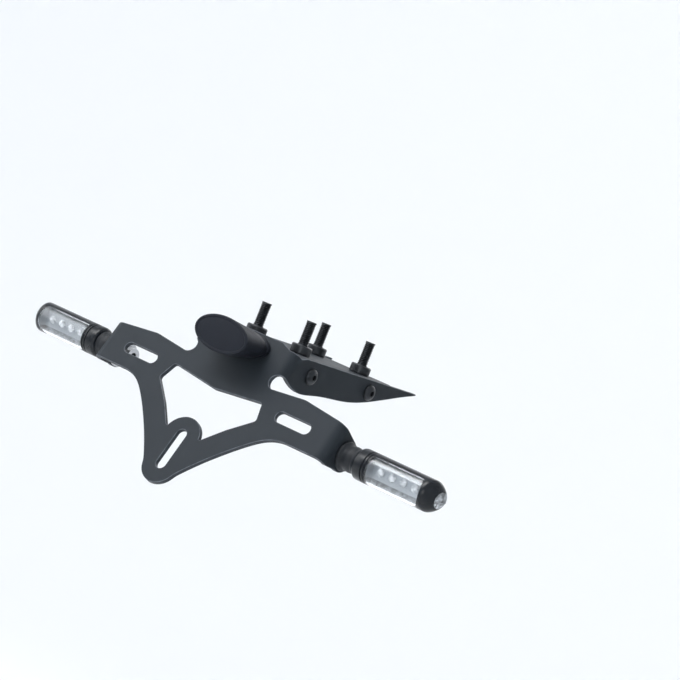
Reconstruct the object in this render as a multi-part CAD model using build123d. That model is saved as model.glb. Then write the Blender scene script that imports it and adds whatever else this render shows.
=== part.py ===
from build123d import *
import math
import os

# Tail tidy: folded carrier for a motorbike number plate, with a plate lamp and two indicators.
# Frame: +X right, +Y forward, +Z up. The origin is the middle of the four bolts, on the seat
# plane under the tail. Lengths are in mm, angles in degrees.

# sheet
sheet = 3.0
bend_in = 3.0
bend_out = bend_in + sheet
lean = 22.0                  # the face plate leans forward at its top

# where the face plate stands below and behind the bolts
plate_back = 68.0
plate_drop = 38.7

# room around a screw, bolt or stud in its hole, and in its washer
hole_room = 0.3
washer_room = 0.2

# face plate, measured across (x) and up the plate (v) from the dip in the loop's top edge
wing_end = 81.0
wing_peak = (56.0, 15.5)
wing_tip_v = 12.8
wing_root = (33.0, 13.0)
wing_low_v = -11.2
wing_flat = 62.0                 # the wing's lower edge is straight from here outwards
upright_top = 40.0
upright_flat = 21.0
upright_half = 28.0
peak_round = 6.0
fold_low = 22.5
fold_high = 37.5
notch_at = (33.0, 18.0)
notch_r = 5.0
apex_v = -51.0
apex_r = 11.7
loop_corner = 1.8
boss_v = -32.6
boss_r = 12.0
slot_w = 6.6
wing_slot = (45.5, 70.0, 0.8)    # inner end, outer end, height
low_slot = (-54.0, -28.4)        # bottom end, top end

# side walls: forward of the plate's corner, and down from the wall's top edge
wall_front = 139.0
wall_low = [(22, 18.5), (31, 19.7), (49, 17.8), (72, 16.5), (88, 13.9), (105, 9.4), (132, 1.9)]
wall_screws = [(32.5, 8.7), (90.0, 7.3)]
wall_screw_r = 2.5
side_head_r = 4.6
side_head_h = 2.7
side_nut_r = 4.0             # to the flats
side_nut_h = 4.0

# mounting bracket and its bolts
bolt_x = 34.0
bolt_y = 60.0
bolt_r = 3.0
bolt_shank_r = 2.85          # plain below the seat, threaded above it
bolt_up = 14.0
bolt_head_r = 5.25
bolt_head_h = 3.3
spacer_h = 5.0
spacer_r = 6.0
washer_h = 1.2
bracket_rear = -46.0
bracket_front = 48.0
bracket_deep = 15.0
trim_line = [(-20.0, 20.0), (22.0, 12.0), (bracket_front + 1.0, 4.6)]   # lower edge: forward, and down from the top

# plate lamp: it lies level, its axis meets the face plate at lamp_v and its upright face stands lamp_out behind that
lamp_v = 31.5
lamp_out = 24.3
lamp_face = (38.6, 20.4)     # an ellipse, tapering to a smaller one at the face plate
lamp_base = (35.0, 15.0)
lamp_front = 4.0
lamp_wall = 2.0
lamp_edge = 1.4
lamp_screw_x = 11.5
lamp_screw_v = lamp_v - 1.5
lamp_screw_r = 2.0
lamp_post = 11.0             # long enough to meet the lamp's top wall
lamp_head_r = 3.6
lamp_head_h = 2.4
lamp_washer_r = 4.5
lamp_washer_h = 0.8
lamp_window = (17.0, 11.5)   # across, and from front to back
board_rise = 3.2
board_h = 1.4
board_deep = 7.0
lamp_led_pitch = 7.0
lamp_led = (3.0, 1.0)        # square side, height
lead_hole_r = 3.5

# indicators
lamp_axis_v = 1.0
lamp_axis_w = 15.5
barrel_r = 8.9
barrel_in = 7.3
stalk_len = 11.0             # lengths along the barrel, one after the other from the wing's end flange
collar_len = 10.0
lens_len = 32.5
nose_gap = 5.1
nose_len = 9.6               # the barrel's end is cut on a slant, and is this much longer at the front
nose_round = 2.0
lens_sweep = 3.8             # the lens's outer end runs this much further at the rear than at the axis
lens_droop = 8.0
lens_edge = 0.6
lens_top = 8.0               # the housing covers the lens above this
tray_half = 6.6
tray_back = 1.6              # the reflector's back, in front of the barrel's axis; the board lies on it
tray_deep = 2.0
led_room = 1.0
stud_r = 5.0
stud_bore = 2.5
stud_in = 7.0                # how far the hollow stud reaches into the stalk
stud_out = 10.0              # and how far past the flange
stud_washer_r = 9.0
stud_nut_r = 7.0             # to the flats
stud_nut_h = 5.0
led_count = 4
led_inset = 4.55             # from an end of the lens to the first LED
led_size = 3.2
led_h = 1.2

os.makedirs("parts", exist_ok=True)

s, c = math.sin(math.radians(lean)), math.cos(math.radians(lean))
corner = Vector(0, -plate_back, -plate_drop)
plate = Plane(origin=corner, x_dir=(1, 0, 0), z_dir=(0, -c, s))   # local x, up the plate, out


def row(v, w):
    """Row-frame y and z of a point v up the plate and w in front of it, from the plate's corner."""
    return v * s + w * c, v * c - w * s


def save(name, shape):
    export_step(shape, f"parts/{name}.step")


def side_sketch(x):
    """Sketch plane of a side wall: local x is forward and local y is up, from the plate's corner."""
    return Plane(origin=corner + Vector(x, 0, 0), x_dir=(0, 1, 0), z_dir=(1, 0, 0))


def both(shape):
    return shape + mirror(shape, about=Plane.YZ)


def disc(x0, x1, radius, bore=0.0, at=(0, 0)):
    """A cylinder along x between x0 and x1, about the point (y, z)."""
    place = Plane(origin=(x0, at[0], at[1]), x_dir=(0, 1, 0), z_dir=(1, 0, 0))
    ring = Circle(radius) - Circle(bore) if bore else Circle(radius)
    return extrude(place * ring, x1 - x0)


def up(x, y, z0, z1, radius, bore=0.0):
    ring = Circle(radius) - Circle(bore) if bore else Circle(radius)
    return extrude(Plane(origin=(x, y, z0)) * ring, z1 - z0)


# face plate: the right half of the outline, then its mirror image
apex_end = (apex_r * math.cos(math.radians(-25)), apex_v + apex_r * math.sin(math.radians(-25)))
half = [
    Polyline((0, upright_top), (upright_flat, upright_top), (upright_half, fold_high),
             (upright_half, notch_at[1]), wing_root, wing_peak,
             (wing_end, wing_tip_v), (wing_end, wing_low_v), (wing_flat, wing_low_v)),
    Spline((wing_flat, wing_low_v), (50.2, -13.9), (39.1, -22.2), (24.9, -36.8), (14.0, -50.2), apex_end,
           tangents=[(-1, 0), (-0.42, -0.91)]),
    ThreePointArc(apex_end, (apex_r * 0.6, apex_v - apex_r * 0.8), (0, apex_v - apex_r)),
    Line((0, apex_v - apex_r), (0, upright_top)),
]
outline = make_face(Curve() + half)
peaks = [p for p in outline.vertices() if min(abs(p.X - x) for x in (wing_peak[0], upright_flat)) < 0.01]
outline = fillet(peaks, peak_round)
outline += mirror(outline, about=Plane.YZ)

loop_right = [(33.0, 3.7), (36.6, -6.9), (23.4, -18.6), (12.8, -30.0)]
loop = make_face(FilletPolyline((0, 0), *loop_right, *[(-x, v) for x, v in reversed(loop_right)],
                                radius=loop_corner, close=True))
loop -= Pos(0, boss_v) * Circle(boss_r)
slot_mid = (wing_slot[0] + wing_slot[1]) / 2
slots = [Pos(k * slot_mid, wing_slot[2]) * SlotOverall(wing_slot[1] - wing_slot[0], slot_w) for k in (-1, 1)]
slots.append(Pos(0, (low_slot[0] + low_slot[1]) / 2) * SlotOverall(low_slot[1] - low_slot[0], slot_w, rotation=90))
notches = [Pos(k * notch_at[0], notch_at[1]) * Circle(notch_r) for k in (-1, 1)]
lamp_holes = [Pos(k * lamp_screw_x, lamp_screw_v) * Circle(lamp_screw_r + hole_room) for k in (-1, 1)]
lead_hole = Pos(0, lamp_v + 1) * Circle(lead_hole_r)
front = outline - loop - slots - notches - lamp_holes - lead_hole
face_plate = extrude(plate * front, -sheet)


def bend(x, v0, v1):
    """Quarter bend from the face plate to a leaf that runs forward; x is where the bend starts."""
    place = Plane(origin=plate.from_local_coords((x, v0, -bend_out)), x_dir=(1, 0, 0), z_dir=plate.y_dir)
    ring = Circle(bend_out) - Circle(bend_in)
    quarter = place * (ring & (Pos(bend_out, -bend_out) * Rectangle(2 * bend_out, 2 * bend_out)))
    return extrude(quarter, v1 - v0)


# wing end flanges that carry the indicators
axis_y, axis_z = row(lamp_axis_v, lamp_axis_w)
flange_out = wing_end + bend_out
flange_plane = Plane(origin=plate.from_local_coords((flange_out, 0, 0)), x_dir=-plate.z_dir, z_dir=(1, 0, 0))
tab_r = 9.6
tab = make_face(Polyline((bend_out, wing_low_v), (lamp_axis_w, lamp_axis_v - tab_r),
                         (lamp_axis_w, lamp_axis_v + tab_r), (bend_out, wing_tip_v), close=True))
tab += Pos(lamp_axis_w, lamp_axis_v) * Circle(tab_r)
tab -= Pos(lamp_axis_w, lamp_axis_v) * Circle(stud_r + hole_room)
flange = extrude(flange_plane * tab, -sheet) + bend(wing_end, wing_low_v, wing_tip_v)

# side walls, folded forward from the upright
wall_out = upright_half + bend_out
wall_top = plate_drop - spacer_h
low_y, low_z = row(fold_low, bend_out)
high_y, high_z = row(fold_high, bend_out)
wall_edge = [
    Spline((low_y, low_z), *[(y, wall_top - down) for y, down in wall_low]),
    Polyline((wall_low[-1][0], wall_top - wall_low[-1][1]), (wall_front, wall_top), (high_y + 5, wall_top),
             (high_y, high_z), (low_y, low_z)),
]
wall_face = make_face(Curve() + wall_edge)
screw_spots = [(y, wall_top - down) for y, down in wall_screws]
for y, z in screw_spots:
    wall_face -= Pos(y, z) * Circle(wall_screw_r + hole_room)
wall = extrude(side_sketch(wall_out) * wall_face, -sheet) + bend(upright_half, fold_low, fold_high)

main_bracket = face_plate + both(flange) + both(wall)
save("main_bracket", main_bracket)

# mounting bracket: a channel inside the side walls
wall_in = wall_out - sheet
top_z = -spacer_h
low_edge = top_z - bracket_deep
profile = make_face(Polyline((-wall_in, low_edge), (-wall_in, top_z), (wall_in, top_z), (wall_in, low_edge),
                             (wall_in - sheet, low_edge), (wall_in - sheet, top_z - sheet),
                             (-wall_in + sheet, top_z - sheet), (-wall_in + sheet, low_edge), close=True))
tops = [p for p in profile.vertices() if abs(p.Y - top_z) < 0.01]
profile = fillet(tops, sheet)
bracket = extrude(Plane(origin=(0, bracket_rear, 0), x_dir=(-1, 0, 0), z_dir=(0, 1, 0)) * profile,
                  bracket_front - bracket_rear)
trim = make_face(Polyline(*[(y, top_z - down) for y, down in trim_line],
                          (trim_line[-1][0], top_z - trim_line[0][1]), close=True))
bracket -= extrude(Plane.YZ * trim, wall_out, both=True)
spots = [(i * bolt_x / 2, j * bolt_y / 2) for i in (-1, 1) for j in (-1, 1)]
for x, y in spots:
    bracket -= up(x, y, top_z - sheet, top_z, bolt_r + hole_room)
for y, z in screw_spots:
    at = (y - plate_back, z - plate_drop)
    bracket -= disc(-wall_out, wall_out, wall_screw_r + hole_room, at=at)
save("mounting_bracket", bracket)

# bolts up into the tail, with a washer below and a spacer above the bracket
bolts, washers, spacers = [], [], []
for x, y in spots:
    under = top_z - sheet - washer_h
    washers.append(up(x, y, under, under + washer_h, bolt_head_r + 0.6, bolt_r + washer_room))
    head = chamfer(up(x, y, under - bolt_head_h, under, bolt_head_r).edges().group_by(Axis.Z)[0], 1.6)
    socket = extrude(Plane(origin=(x, y, under - bolt_head_h)) * RegularPolygon(2.3, 6), 2)
    bolts.append(head + up(x, y, under, 0, bolt_shank_r) + up(x, y, 0, bolt_up, bolt_r) - socket)
    spacers.append(up(x, y, top_z, 0, spacer_r, bolt_r + washer_room))
save("mounting_bolts", Compound(children=[b.solid() for b in bolts]))
save("mounting_washers", Compound(children=[b.solid() for b in washers]))
save("mounting_spacers", Compound(children=[b.solid() for b in spacers]))

# screws through the side walls
screws, nuts = [], []
for y, z in screw_spots:
    at = (y - plate_back, z - plate_drop)
    inner = wall_in - sheet
    head = disc(wall_out, wall_out + side_head_h, side_head_r, at=at)
    head = fillet(head.edges().group_by(Axis.X)[-1], 1.8)
    hex_at = Plane(origin=(wall_out + side_head_h, *at), x_dir=(0, 1, 0), z_dir=(1, 0, 0))
    screw = head + disc(inner - 1.2 * side_nut_h, wall_out, wall_screw_r, at=at) - extrude(hex_at * RegularPolygon(1.7, 6), -1.6)
    hex_in = Plane(origin=(inner, *at), x_dir=(0, 1, 0), z_dir=(1, 0, 0))
    nut = extrude(hex_in * (RegularPolygon(side_nut_r, 6, major_radius=False) - Circle(wall_screw_r)), -side_nut_h)
    for shape, group in ((screw, screws), (nut, nuts)):
        group += [shape.solid(), mirror(shape, about=Plane.YZ).solid()]
save("side_screws", Compound(children=screws))
save("side_nuts", Compound(children=nuts))


# plate lamp
lamp = Plane(origin=plate.from_local_coords((0, lamp_v, 0)) - Vector(0, lamp_out, 0), x_dir=(1, 0, 0), z_dir=(0, -1, 0))
lamp_deep = lamp_out + lamp_base[1]      # drawn past the face plate, then cut off along it


def lamp_section(depth, inset=0.0):
    """The lamp's outline at a depth behind its face, drawn in by inset."""
    k = depth / lamp_out
    width, height = (face + k * (base - face) - 2 * inset for face, base in zip(lamp_face, lamp_base))
    return lamp * Pos(0, 0, -depth) * Ellipse(width / 2, height / 2)


def in_lamp(x, rise, depth, dx, dz, length):
    """A box in the lamp, about (x, rise) on its face, from depth to depth + length behind the face."""
    return extrude(lamp * Pos(x, rise, -depth) * Rectangle(dx, dz), -length)


lamp_body = loft([lamp_section(lamp_deep), lamp_section(lamp_edge), lamp_section(0, lamp_edge)], ruled=True)
lamp_body = split(lamp_body, bisect_by=plate, keep=Keep.TOP)
cavity = loft([lamp_section(lamp_deep, lamp_wall), lamp_section(lamp_front, lamp_wall)])
posts = [extrude(plate * Pos(k * lamp_screw_x, lamp_screw_v) * Circle(lamp_screw_r + 1.4), lamp_post) & lamp_body
         for k in (-1, 1)]
pilots = [extrude(plate * Pos(k * lamp_screw_x, lamp_screw_v) * Circle(lamp_screw_r), lamp_post - 3) for k in (-1, 1)]
opening = in_lamp(0, -lamp_face[1] / 2, lamp_front + 0.5, lamp_window[0], lamp_face[1] / 2, lamp_window[1])
shell = lamp_body - cavity
window = shell & opening
lamp_housing = shell - opening
for post, pilot in zip(posts, pilots):
    lamp_housing = lamp_housing + post - pilot
board = cavity & in_lamp(0, board_rise, lamp_front + 1, 2 * lamp_face[0], board_h, board_deep)
led_rise = board_rise - (board_h + lamp_led[1]) / 2
lamp_leds = [in_lamp(k * lamp_led_pitch, led_rise, lamp_front + 3, *lamp_led, lamp_led[0]) for k in (-1, 0, 1)]
save("lamp_housing", lamp_housing)
save("lamp_window", window)
save("lamp_board", board)
save("lamp_leds", Compound(children=[part.solid() for part in lamp_leds]))

screws, washers = [], []
for k in (-1, 1):
    back = plate * Pos(k * lamp_screw_x, lamp_screw_v, -sheet)
    washers.append(extrude(back * (Circle(lamp_washer_r) - Circle(lamp_screw_r + washer_room)), -lamp_washer_h))
    under = back * Pos(0, 0, -lamp_washer_h)
    head = extrude(under * Circle(lamp_head_r), -lamp_head_h)
    screws.append(head + extrude(under * Circle(lamp_screw_r), lamp_washer_h + sheet + lamp_post - 3))
save("lamp_screws", Compound(children=[part.solid() for part in screws]))
save("lamp_washers", Compound(children=[part.solid() for part in washers]))

# indicators: built on the right, mirrored to the left
stalk_end = flange_out + stalk_len
lens_from = stalk_end + collar_len
lens_to = lens_from + lens_len
nose_from = lens_to + nose_gap
nose_tip = nose_from + nose_len
axis = (axis_y - plate_back, axis_z - plate_drop)
spin = Plane(origin=(0, *axis), x_dir=(1, 0, 0), z_dir=(0, -1, 0))     # local x along the barrel, y up
about = Axis((0, *axis), (1, 0, 0))


def turned(*points):
    return revolve(spin * make_face(Polyline(*points, close=True)), about)


def drooped(shape):
    """Puts a shape drawn about the x axis on the barrel's axis, turned down by the droop of the lens."""
    return Pos(0, *axis) * Rot(lens_droop, 0, 0) * shape


def rear_box(x0, x1, y0, y1, z0, z1):
    return drooped(Pos((x0 + x1) / 2, (y0 + y1) / 2, (z0 + z1) / 2) * Box(x1 - x0, y1 - y0, z1 - z0))


blank = turned((stalk_end, 0), (stalk_end, barrel_r - 1.5), (stalk_end + 1.5, barrel_r), (lens_from - 3, barrel_r),
               (lens_from - 3, barrel_r - 0.6), (lens_from - 2.2, barrel_r - 0.6), (lens_from - 2.2, barrel_r),
               (nose_tip, barrel_r), (nose_tip, 0))
over_x, over_y = 0.2 * nose_len, 0.4 * barrel_r     # the cut runs past the barrel by this much
slant = make_face(Polyline((nose_from - over_x, -barrel_r - over_y), (nose_tip + over_x, barrel_r + over_y),
                           (nose_tip + over_x, -barrel_r - over_y), close=True))
solid_barrel = blank - drooped(extrude(slant, 2 * barrel_r, both=True))
solid_barrel = fillet(solid_barrel.edges().filter_by(GeomType.ELLIPSE), nose_round)
hollow = disc(lens_from, lens_to, barrel_in, at=axis)
slope = lens_sweep / barrel_r
clear = 1.4 * barrel_r
rear = make_face(Polyline((lens_from, -lens_edge), (lens_from, -clear), (lens_to + slope * clear, -clear),
                          (lens_to + slope * lens_edge, -lens_edge), close=True))
rear = drooped(Pos(0, 0, lens_top) * extrude(rear, -lens_top - clear))
tip_box = rear_box(nose_from + nose_len / 2, nose_tip + 1, 1.5, 12, -6.0, 4.5)
lead_way = disc(stalk_end, lens_from, stud_bore, at=axis)
housing = solid_barrel - hollow - rear - tip_box - lead_way
lens = disc(lens_from, nose_from, barrel_r, barrel_in, at=axis) & rear
tip_lens = solid_barrel & tip_box
led_pitch = (lens_len - 2 * led_inset) / (led_count - 1)
led_xs = [lens_from + led_inset + i * led_pitch for i in range(led_count)]
reflector = hollow & rear_box(lens_from, lens_to, tray_back - tray_deep, tray_back, -tray_half, tray_half)
half_led, half_hole = led_size / 2, led_size / 2 + led_room
for x in led_xs:
    reflector -= rear_box(x - half_hole, x + half_hole, tray_back - tray_deep, tray_back, -half_hole, half_hole)
circuit = hollow & rear_box(lens_from, lens_to, tray_back, tray_back + board_h, -barrel_r, barrel_r)
leds = [rear_box(x - half_led, x + half_led, tray_back - led_h, tray_back, -half_led, half_led) for x in led_xs]
stalk = turned((flange_out, 0), (flange_out, 8.4), (flange_out + 2, 8.4), (flange_out + 3, 7.0), (flange_out + 5, 6.6),
               (stalk_end - 3, 6.8), (stalk_end - 2, 7.4), (stalk_end, 7.4), (stalk_end, 0))
stalk -= disc(flange_out, flange_out + stud_in, stud_r, at=axis)
stalk -= disc(flange_out + stud_in, stalk_end, stud_bore, at=axis)
flange_in = flange_out - sheet
stud = disc(flange_in - stud_out, flange_out + stud_in, stud_r, stud_bore, at=axis)
washer = disc(flange_in - washer_h, flange_in, stud_washer_r, stud_r + washer_room, at=axis)
hex_face = Plane(origin=(flange_in - washer_h, *axis), x_dir=(0, 1, 0), z_dir=(1, 0, 0))
nut = extrude(hex_face * (RegularPolygon(stud_nut_r, 6, major_radius=False) - Circle(stud_r)), -stud_nut_h)

pieces = {"housing": housing, "lens": lens, "tip_lens": tip_lens, "reflector": reflector, "board": circuit,
          "leds": leds, "stalk": stalk, "stud": stud, "washer": washer, "nut": nut}
for name, shape in pieces.items():
    group = shape if isinstance(shape, list) else [shape]
    right = Compound(children=[part.solid() for part in group])
    save(f"right_indicator_{name}", right)
    save(f"left_indicator_{name}", mirror(right, about=Plane.YZ))
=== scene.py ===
import bpy
import bmesh
import math
from mathutils import Vector, Matrix


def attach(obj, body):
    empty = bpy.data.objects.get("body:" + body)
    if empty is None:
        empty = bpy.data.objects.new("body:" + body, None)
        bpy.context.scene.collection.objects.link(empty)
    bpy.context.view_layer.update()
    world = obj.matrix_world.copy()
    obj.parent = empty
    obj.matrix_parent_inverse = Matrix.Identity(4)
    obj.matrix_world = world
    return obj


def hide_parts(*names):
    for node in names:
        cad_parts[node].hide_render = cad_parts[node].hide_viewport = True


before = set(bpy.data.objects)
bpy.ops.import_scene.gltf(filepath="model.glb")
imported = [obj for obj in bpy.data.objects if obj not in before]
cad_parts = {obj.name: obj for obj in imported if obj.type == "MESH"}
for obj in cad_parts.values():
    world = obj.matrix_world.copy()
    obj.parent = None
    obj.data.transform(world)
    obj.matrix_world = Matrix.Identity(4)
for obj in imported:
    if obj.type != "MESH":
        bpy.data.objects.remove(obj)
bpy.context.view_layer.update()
mm = 0.001
print("frame loaded with", len(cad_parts), "nodes")

# The face plate leans forward at its top. Points on it are given across, up the plate and out of it, in mm.
plateSettings = {
    "lean": 22.0,
    "corner": (0.0, -68.0, -38.7),  # the loop's top corner, where measures on the plate start
}
leanSin = math.sin(math.radians(plateSettings["lean"]))
leanCos = math.cos(math.radians(plateSettings["lean"]))


def onPlate(x, v, n):
    cx, cy, cz = plateSettings["corner"]
    return Vector((cx + x, cy + v * leanSin - n * leanCos, cz + v * leanCos + n * leanSin)) * mm


# Node helpers

def feed(tree, socket, value):  # links an output, or sets a plain value
    if isinstance(value, bpy.types.NodeSocket):
        tree.links.new(value, socket)
    else:
        socket.default_value = value


def feedAll(tree, node, values):
    for socketName, value in values.items():
        feed(tree, node.inputs[socketName], value)


def mathNode(tree, operation, a, b, clamp=False):
    node = tree.nodes.new("ShaderNodeMath")
    node.operation = operation
    node.use_clamp = clamp
    feed(tree, node.inputs[0], a)
    feed(tree, node.inputs[1], b)
    return node.outputs[0]


def rangeNode(tree, value, fromMin, fromMax, toMin, toMax):
    node = tree.nodes.new("ShaderNodeMapRange")
    feedAll(tree, node, {"Value": value, "From Min": fromMin, "From Max": fromMax, "To Min": toMin, "To Max": toMax})
    return node.outputs["Result"]


def noiseNode(tree, vector, scale, detail, rough):
    node = tree.nodes.new("ShaderNodeTexNoise")
    feedAll(tree, node, {"Vector": vector, "Scale": scale, "Detail": detail, "Roughness": rough})
    return node.outputs["Fac"]


def mixColour(tree, factor, first, second):
    node = tree.nodes.new("ShaderNodeMix")
    node.data_type = "RGBA"
    feed(tree, node.inputs["Factor"], factor)
    for socket, value in ((node.inputs[6], first), (node.inputs[7], second)):  # the two colour sockets
        feed(tree, socket, (*value, 1.0) if isinstance(value, tuple) else value)
    return node.outputs[2]


def objectPlace(tree):
    return tree.nodes.new("ShaderNodeTexCoord").outputs["Object"]


# Shader groups: each puts out values that change over the surface

def newGroup(name, inputs, outputs):
    group = bpy.data.node_groups.new(name, "ShaderNodeTree")
    for way, socketNames in (("INPUT", inputs), ("OUTPUT", outputs)):
        for socketName in socketNames:
            group.interface.new_socket(socketName, in_out=way, socket_type="NodeSocketFloat")
    return group, group.nodes.new("NodeGroupInput"), group.nodes.new("NodeGroupOutput")


def placeGroup(tree, group, **values):
    node = tree.nodes.new("ShaderNodeGroup")
    node.node_tree = group
    feedAll(tree, node, values)
    return node


grainSettings = {
    "pimple": (2.0, 0.6), "broad": (2.0, 0.5), "broadShare": 0.16,  # detail and roughness of the noise
    "shade": (42.0, 4.0, 0.6),  # scale, detail and roughness
}


def makeGrainGroup():  # fine pimples of a coat or a moulding, with a broader waviness under them
    s = grainSettings
    group, source, sink = newGroup("fineGrain", ("Size", "Wave"), ("Height", "Shade"))
    place, size = objectPlace(group), source.outputs["Size"]
    pimple = noiseNode(group, place, size, *s["pimple"])
    broad = noiseNode(group, place, mathNode(group, "MULTIPLY", size, s["broadShare"]), *s["broad"])
    height = mathNode(group, "ADD", pimple, mathNode(group, "MULTIPLY", broad, source.outputs["Wave"]))
    feedAll(group, sink, {"Height": height, "Shade": noiseNode(group, place, *s["shade"])})
    return group


def makeMaskGroup(name, s, valueFrom):  # a value on the surface, broken by patches of noise
    group, source, sink = newGroup(name, ("Amount",), ("Mask",))
    patch = rangeNode(group, noiseNode(group, objectPlace(group), *s["noise"]), *s["patch"])
    broken = mathNode(group, "MULTIPLY", valueFrom(group), patch)
    feed(group, sink.inputs["Mask"], mathNode(group, "MULTIPLY", broken, source.outputs["Amount"], True))
    return group


dustSettings = {  # a thin film that settles on what faces up
    "noise": (95.0, 6.0, 0.65), "patch": (0.38, 0.72, 0.0, 1.0), "facing": (0.1, 1.0, 0.15, 1.0),
    "colour": (0.20, 0.21, 0.22), "rough": 0.3,
}
# noise that breaks up the mask of rubbed wear, painted highlight and painted shade
wearAndPaintedLightSettings = {"noise": (260.0, 5.0, 0.7), "patch": (0.35, 0.7, 0.25, 1.0)}


def facingUp(group):
    split = group.nodes.new("ShaderNodeSeparateXYZ")
    feed(group, split.inputs[0], group.nodes.new("ShaderNodeNewGeometry").outputs["Normal"])
    return rangeNode(group, split.outputs["Z"], *dustSettings["facing"])


def ownMask(group):  # set on a piece's mesh: rubbed edges with a painted highlight on the coat, painted shade on the reflector's lower band and along the lens's top and edges
    mask = group.nodes.new("ShaderNodeAttribute")
    mask.attribute_name = "wearAndLightMask"
    return mask.outputs["Fac"]


grainGroup = makeGrainGroup()
dustGroup = makeMaskGroup("dustFilm", dustSettings, facingUp)
wearAndPaintedLightGroup = makeMaskGroup("wearAndPaintedLight", wearAndPaintedLightSettings, ownMask)


# Finishes

def newFinish(name):
    material = bpy.data.materials.new(name)
    material.use_nodes = True
    return material, material.node_tree, material.node_tree.nodes["Principled BSDF"]


def bumpInto(tree, shader, height, strength, depth):
    bump = tree.nodes.new("ShaderNodeBump")
    feedAll(tree, bump, {"Strength": strength, "Distance": depth, "Height": height})
    feed(tree, shader.inputs["Normal"], bump.outputs["Normal"])


# A finish runs between two shades. An amount and a colour can be laid over the piece's own mask: rubbed wear with a
# painted highlight on the coat's edges, painted shade on the reflector and lens; inputs go straight to the shader.
plainFinish = {"wave": 0.4, "range": (0.25, 0.75), "wearAndLight": None, "dust": 0.0, "depth": 0.0003, "inputs": {}}
clearPlastic = {
    "size": 420.0, "wave": 1.5, "range": (0.3, 0.8), "rough": (0.02, 0.09),
    "inputs": {"Transmission Weight": 1.0, "IOR": 1.36, "Specular IOR Level": 0.2},
}
finishSettings = {
    "satinPowderCoat": {
        "shades": ((0.012, 0.0155, 0.0195), (0.017, 0.021, 0.026)), "size": 2600.0, "bump": 0.16, "dust": 0.02,
        # the pale colour on the coat's edges is rubbed wear and a painted highlight
        "rough": (0.46, 0.58), "wearAndLight": (0.7, (0.20, 0.22, 0.25)), "inputs": {"Specular IOR Level": 0.10},
    },
    # the lamp plastic's own black, set darker still as painted shade over the whole lamp
    "grainedLampPlastic": {
        "shades": ((0.007, 0.0085, 0.0125), (0.011, 0.013, 0.018)), "size": 3400.0, "bump": 0.30, "dust": 0.015,
        "rough": (0.52, 0.64), "inputs": {"Specular IOR Level": 0.08},
    },
    "satinBarrelPlastic": {
        "shades": ((0.003, 0.0045, 0.0065), (0.006, 0.008, 0.011)), "size": 2200.0, "bump": 0.06, "dust": 0.015,
        "rough": (0.20, 0.28), "inputs": {"Specular IOR Level": 0.22},
    },
    "softStalkRubber": {
        "shades": ((0.007, 0.0085, 0.011), (0.011, 0.013, 0.016)), "size": 1800.0, "bump": 0.30, "dust": 0.02,
        "rough": (0.45, 0.60), "inputs": {"Specular IOR Level": 0.2},
    },
    "blackOxideSteel": {
        "shades": ((0.010, 0.012, 0.015), (0.022, 0.025, 0.029)), "size": 3000.0, "bump": 0.10, "dust": 0.03,
        "rough": (0.30, 0.45), "inputs": {"Metallic": 0.7},
    },
    "zincPlatedSteel": {
        "shades": ((0.36, 0.37, 0.39), (0.52, 0.53, 0.55)), "size": 2800.0, "bump": 0.07, "dust": 0.05,
        "rough": (0.20, 0.36), "inputs": {"Metallic": 1.0},
    },
    "anodisedSpacer": {
        "shades": ((0.012, 0.014, 0.017), (0.021, 0.024, 0.028)), "size": 3200.0, "bump": 0.08, "dust": 0.02,
        "rough": (0.30, 0.42), "inputs": {"Metallic": 0.6},
    },
    "darkSolderMask": {
        "shades": ((0.012, 0.020, 0.016), (0.020, 0.030, 0.024)), "size": 1500.0, "bump": 0.03, "rough": (0.35, 0.45),
    },
    "silveredReflector": {
        "shades": ((0.33, 0.35, 0.37), (0.42, 0.44, 0.46)), "size": 900.0, "bump": 0.10, "range": (0.3, 0.7),
        # the dark colour laid on the tray's mask is painted shade on its lower band
        "rough": (0.30, 0.42), "wearAndLight": (1.0, (0.02, 0.022, 0.025)), "inputs": {"Metallic": 1.0},
    },
    "paleLedPhosphor": {
        "shades": ((0.44, 0.45, 0.45), (0.66, 0.66, 0.64)), "size": 2500.0, "bump": 0.04, "depth": 0.0002,
        "rough": (0.18, 0.18), "inputs": {"Coat Weight": 0.8},
    },
    "clearLensPlastic": {
        **clearPlastic, "shades": ((0.88, 0.90, 0.92), (0.88, 0.90, 0.92)), "bump": 0.03,
        # the dark colour laid on the lens's mask is painted shade
        "wearAndLight": (1.0, (0.01, 0.011, 0.012)),
    },
    "clearLampWindow": {**clearPlastic, "shades": ((0.95, 0.96, 0.97), (0.95, 0.96, 0.97)), "bump": 0.05},
}


def grainedFinish(name):
    s = {**plainFinish, **finishSettings[name]}
    material, tree, shader = newFinish(name)
    grain = placeGroup(tree, grainGroup, Size=s["size"], Wave=s["wave"])
    colour = mixColour(tree, grain.outputs["Shade"], *s["shades"])
    rough = rangeNode(tree, grain.outputs["Shade"], *s["range"], *s["rough"])
    if s["wearAndLight"]:
        amount, wearAndLightTint = s["wearAndLight"]
        colour = mixColour(tree, placeGroup(tree, wearAndPaintedLightGroup, Amount=amount).outputs["Mask"], colour, wearAndLightTint)
    if s["dust"]:
        film = placeGroup(tree, dustGroup, Amount=s["dust"]).outputs["Mask"]
        colour = mixColour(tree, film, colour, dustSettings["colour"])
        rough = mathNode(tree, "ADD", rough, mathNode(tree, "MULTIPLY", film, dustSettings["rough"]))
    feedAll(tree, shader, {"Base Color": colour, "Roughness": rough, **s["inputs"]})
    bumpInto(tree, shader, grain.outputs["Height"], s["bump"], s["depth"])
    return material


facetSettings = {
    "rough": (0.0, 1.0, 0.08, 0.30), "coat": 0.6, "bump": 0.5, "depth": 0.0006,
    "looks": {  # two shades for the facets' painted reflections, and the scale of the facets
        "facetedLedOptic": ((0.34, 0.36, 0.38), (0.84, 0.85, 0.86), 700.0),
        "facetedTipPlastic": ((0.04, 0.045, 0.05), (0.42, 0.45, 0.48), 760.0),
    },
}


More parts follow.
